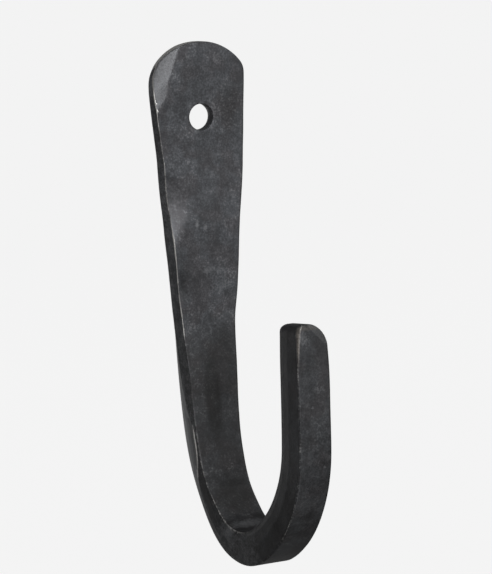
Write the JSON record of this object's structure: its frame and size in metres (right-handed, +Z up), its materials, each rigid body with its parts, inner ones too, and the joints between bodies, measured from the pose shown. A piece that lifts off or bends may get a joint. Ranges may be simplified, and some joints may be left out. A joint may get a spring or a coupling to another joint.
{
  "type": "wall hook",
  "caption": "Hand-forged iron wall hook: a flat plate with a screw hole runs down into a tapered shank and a wide J bend with an upturned square end.",
  "frame": {"origin": "centre of the screw hole, on the wall", "axes": "+Z up along the plate, +Y into the wall, +X to the right when seen from the front"},
  "size_m": [0.0276, 0.0603, 0.1353],
  "materials": {
    "blackened_iron": "hand-forged, blackened and waxed, with worn edges"
  },
  "bodies": {
    "root": {"hook": "blackened_iron"}
  },
  "joints": []
}
